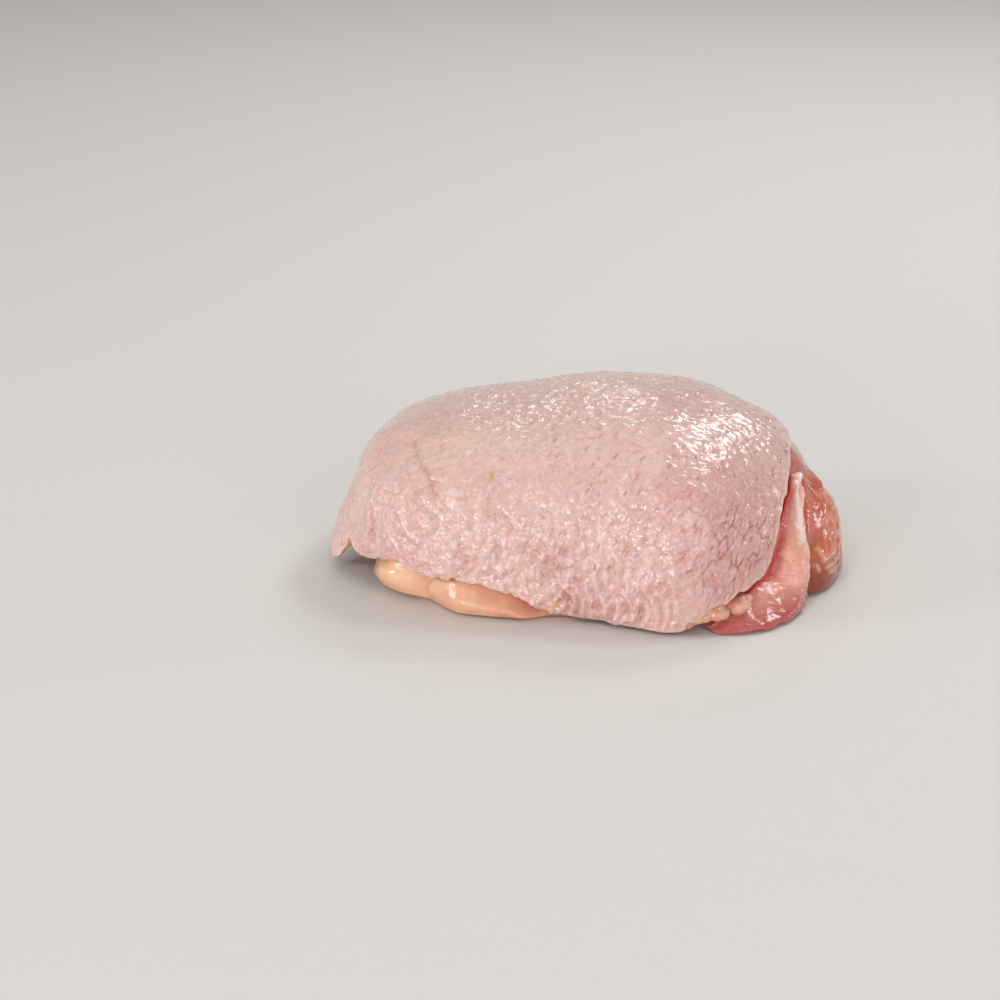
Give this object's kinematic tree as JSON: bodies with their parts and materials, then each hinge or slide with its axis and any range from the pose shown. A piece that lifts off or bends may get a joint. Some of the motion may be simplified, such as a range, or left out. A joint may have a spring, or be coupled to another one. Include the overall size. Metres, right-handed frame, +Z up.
{
  "type": "raw chicken thigh",
  "caption": "Raw skin-on chicken thigh lying skin side up: rounded meat under a draped bumpy skin, with fat, a folded muscle flap and the joint end bare.",
  "frame": {"origin": "on the board, under the middle of the piece's box", "axes": "+X along the thigh towards its thick joint end, +Y away from the front side, +Z up"},
  "size_m": [0.1238, 0.0878, 0.0441],
  "materials": {
    "skin": "moist raw skin, pale pink and cream, bumpy",
    "thigh_meat": "wet raw muscle, pinkish red, fibrous",
    "fat_pad": "moist cream fat",
    "front_lobe": "wet peach coloured lean and fat",
    "muscle_flap": "wet striated muscle with a white membrane ridge",
    "edge_fat": "moist cream fat",
    "knuckle_lobe": "wet, smooth, orange brown membrane over muscle"
  },
  "bodies": {
    "root": {"skin": "skin", "thigh_meat": "thigh_meat", "fat_pad": "fat_pad", "front_lobe": "front_lobe", "muscle_flap": "muscle_flap", "edge_fat": "edge_fat", "knuckle_lobe": "knuckle_lobe"}
  },
  "joints": []
}
